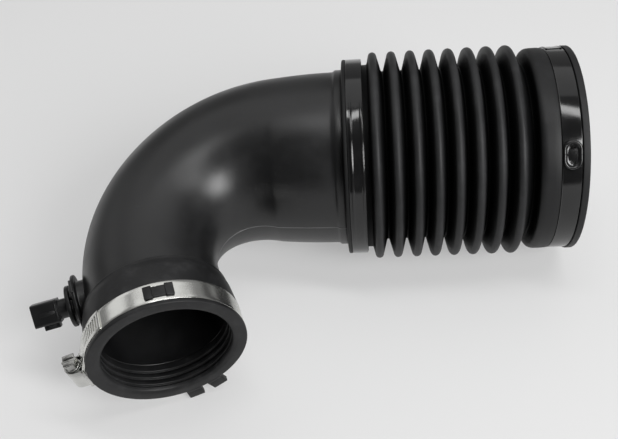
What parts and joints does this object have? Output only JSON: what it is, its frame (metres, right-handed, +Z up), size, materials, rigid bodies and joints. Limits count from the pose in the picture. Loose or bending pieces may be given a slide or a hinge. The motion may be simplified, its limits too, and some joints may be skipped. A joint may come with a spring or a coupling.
{
  "type": "engine air intake pipe",
  "caption": "Tapered plastic elbow duct with a rubber bellows on the wide end, a rubber throttle cuff with a worm clamp on the narrow end, and an air temperature sensor.",
  "frame": {"origin": "the middle of the air box bore, on the bellows axis", "axes": "+X out of the air box mouth along the bellows axis, +Z up as the pipe lies at rest, -Y the side that the elbow bends to"},
  "size_m": [0.3199, 0.2201, 0.1299],
  "materials": {
    "duct_plastic": "fine moulded texture with a soft sheen",
    "bellows_rubber": "matte, lighter along the crests",
    "cuff_rubber": "matte",
    "black_band": "satin black with bare bright edges",
    "stainless": "bright rolled strip",
    "screw_steel": "plated",
    "sensor_plastic": "moulded, satin",
    "seal_rubber": "smooth",
    "thermistor_resin": "dipped",
    "terminal_metal": "tinned"
  },
  "bodies": {
    "duct": {"elbow_duct": "duct_plastic", "bellows": "bellows_rubber", "throttle_cuff": "cuff_rubber", "elbow_end_clamp": "black_band", "airbox_end_clamp": "black_band", "cuff_band": "stainless", "worm_saddle": "stainless", "worm_housing": "stainless", "sensor_body": "sensor_plastic", "sensor_seal": "seal_rubber", "sensor_thermistor": "thermistor_resin", "sensor_terminal_1": "terminal_metal", "sensor_terminal_2": "terminal_metal"},
    "worm": {"worm_screw": "screw_steel"}
  },
  "joints": [
    {"name": "worm_turn", "type": "hinge", "parent": "duct", "child": "worm", "pos_m": [-0.27587, -0.14731, -0.02045], "axis": [-0.1162, -0.1322, 0.9844], "continuous": true}
  ]
}
